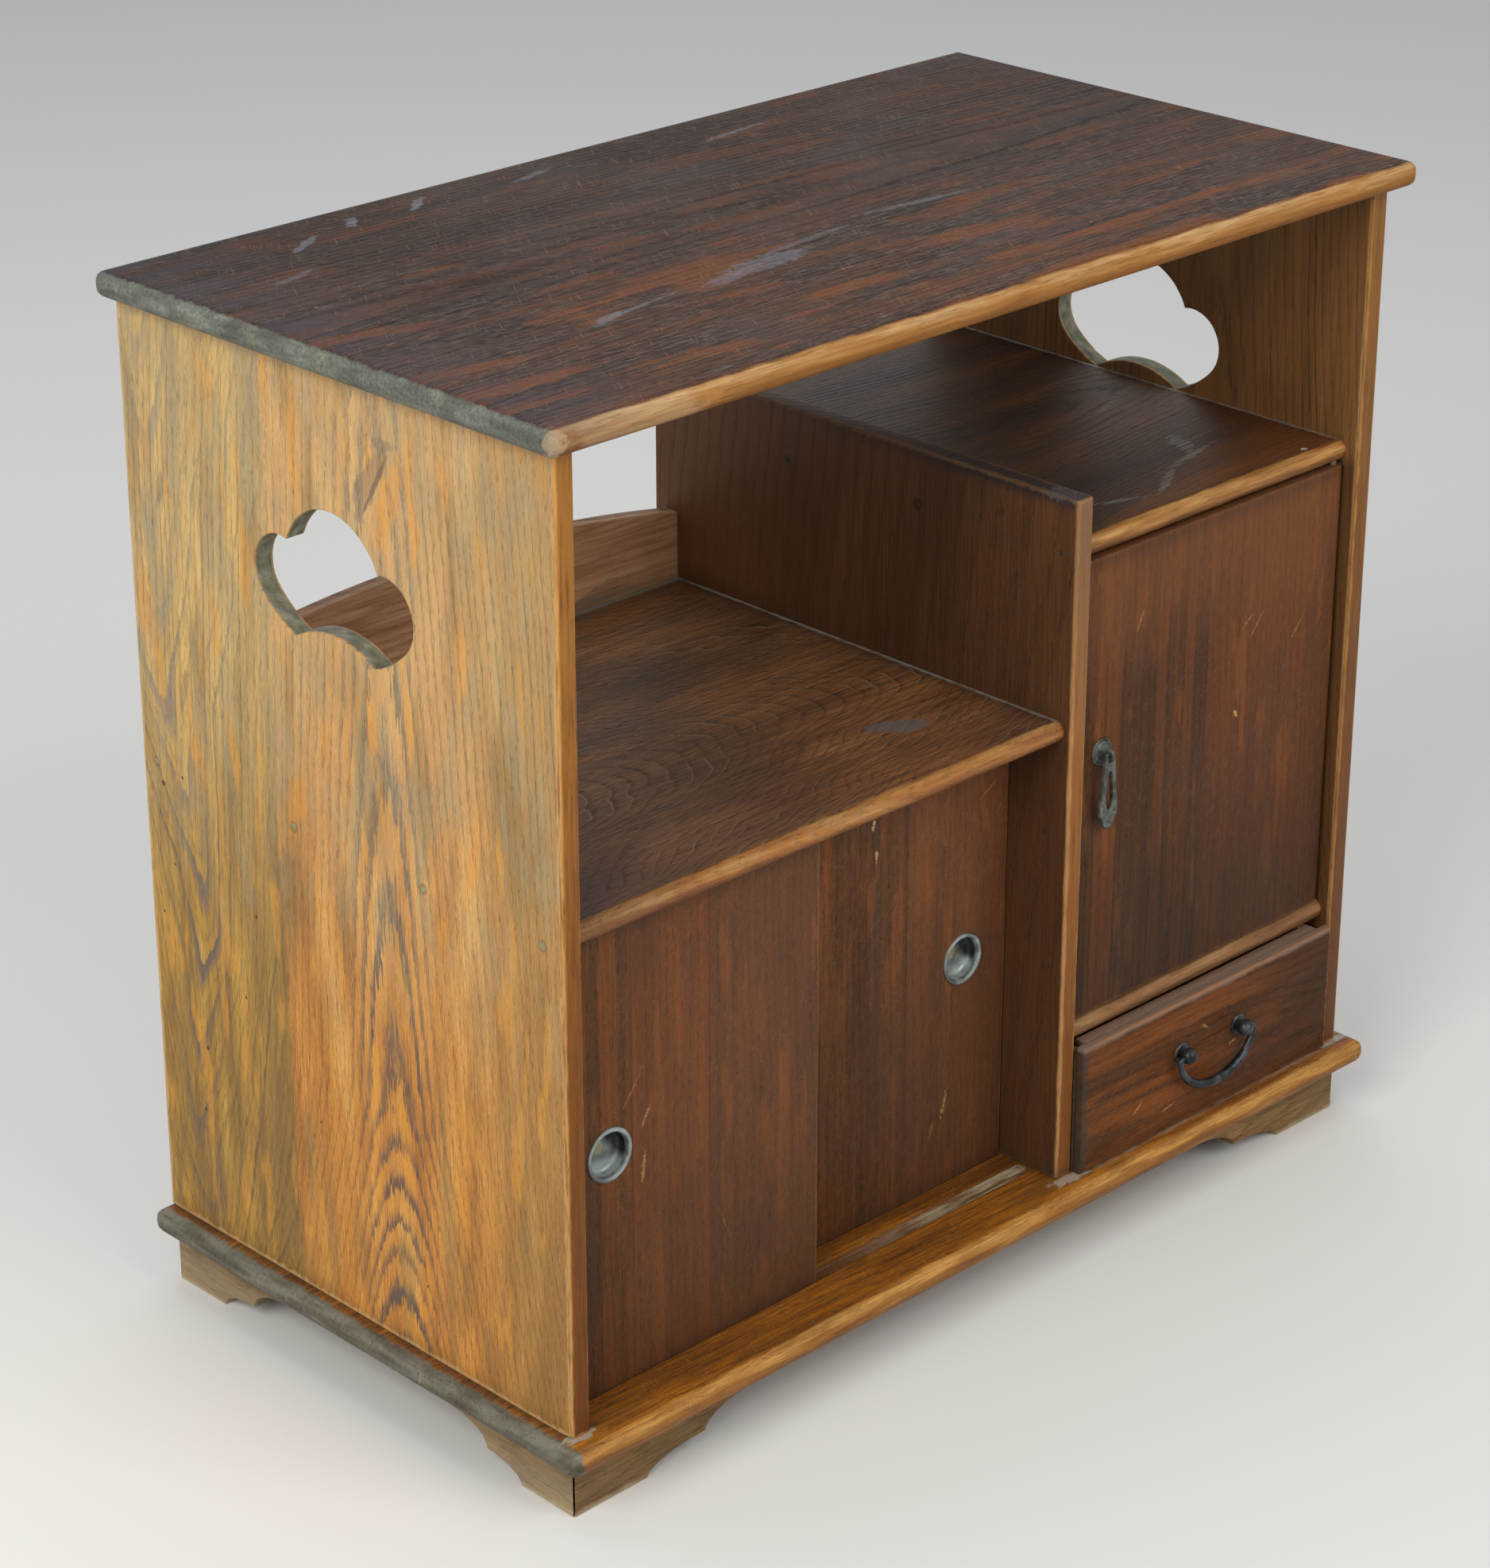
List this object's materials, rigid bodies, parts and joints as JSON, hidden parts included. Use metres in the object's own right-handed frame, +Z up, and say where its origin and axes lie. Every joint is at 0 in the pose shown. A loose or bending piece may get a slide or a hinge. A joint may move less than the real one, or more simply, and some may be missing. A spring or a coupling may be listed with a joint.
{
  "type": "tea cabinet",
  "caption": "Small open tea cabinet with two display bays, sliding doors, a pivoting door and a drawer, on scalloped bracket feet.",
  "frame": {"origin": "middle of the overall box on the plane of the soles of the feet", "axes": "+X to the cabinet's right seen from the front, +Y to its back, +Z up"},
  "size_m": [0.523, 0.285, 0.48],
  "materials": {
    "side_wood": "light softwood, worn and oiled",
    "top_wood": "dark stained softwood, worn at the edges",
    "shelf_wood": "stained softwood",
    "base_wood": "orange brown worn softwood",
    "door_wood": "reddish brown softwood, matt",
    "foot_wood": "tan softwood, worn",
    "plain_wood": "bare softwood",
    "peg_wood": "bare hard peg wood",
    "pull_metal": "grey green patina",
    "dark_iron": "dark brown black patina"
  },
  "bodies": {
    "carcass": {"base_board": "base_wood", "top_board": "top_wood", "left_side_panel": "side_wood", "right_side_panel": "side_wood", "divider": "shelf_wood", "left_shelf": "shelf_wood", "left_shelf_rail": "shelf_wood", "right_shelf": "shelf_wood", "door_bay_floor": "shelf_wood", "left_back_board": "plain_wood", "right_back_board": "plain_wood", "door_stop": "shelf_wood", "front_left_foot_front": "foot_wood", "front_left_foot_side": "foot_wood", "front_right_foot_front": "foot_wood", "front_right_foot_side": "foot_wood", "rear_left_foot": "foot_wood", "rear_right_foot": "foot_wood", "foot_blocks": "plain_wood", "top_pegs": "peg_wood", "base_pegs": "peg_wood", "left_panel_pegs": "peg_wood", "right_panel_pegs": "peg_wood", "divider_pegs": "peg_wood", "back_nails": "dark_iron"},
    "left_slider": {"left_sliding_door": "door_wood", "left_finger_pull": "pull_metal"},
    "right_slider": {"right_sliding_door": "door_wood", "right_finger_pull": "pull_metal"},
    "swing_door": {"pivoting_door": "door_wood", "door_pivots": "dark_iron", "door_pull_rosette": "pull_metal", "door_pull_pin": "pull_metal"},
    "door_drop": {"door_pull_drop": "pull_metal"},
    "drawer": {"drawer_front": "door_wood", "drawer_left_side": "plain_wood", "drawer_right_side": "plain_wood", "drawer_back": "plain_wood", "drawer_bottom": "plain_wood", "drawer_pegs": "peg_wood", "drawer_handle_posts": "dark_iron"},
    "bail": {"drawer_bail": "dark_iron"}
  },
  "joints": [
    {"name": "left_door_slide", "type": "slide", "parent": "carcass", "child": "left_slider", "axis": [1, 0, 0], "range_m": [0, 0.14]},
    {"name": "right_door_slide", "type": "slide", "parent": "carcass", "child": "right_slider", "axis": [-1, 0, 0], "range_m": [0, 0.14]},
    {"name": "door_swing", "type": "hinge", "parent": "carcass", "child": "swing_door", "pos_m": [0.2362, -0.1195, 0.2255], "axis": [0, 0, 1], "range_deg": [0, 90]},
    {"name": "door_drop_swing", "type": "hinge", "parent": "swing_door", "child": "door_drop", "pos_m": [0.0748, -0.1288, 0.244], "axis": [-1, 0, 0], "range_deg": [-5, 165]},
    {"name": "drawer_slide", "type": "slide", "parent": "carcass", "child": "drawer", "axis": [0, -1, 0], "range_m": [0, 0.2]},
    {"name": "bail_swing", "type": "hinge", "parent": "drawer", "child": "bail", "pos_m": [0.15075, -0.1375, 0.076], "axis": [-1, 0, 0], "range_deg": [-5, 170]}
  ]
}
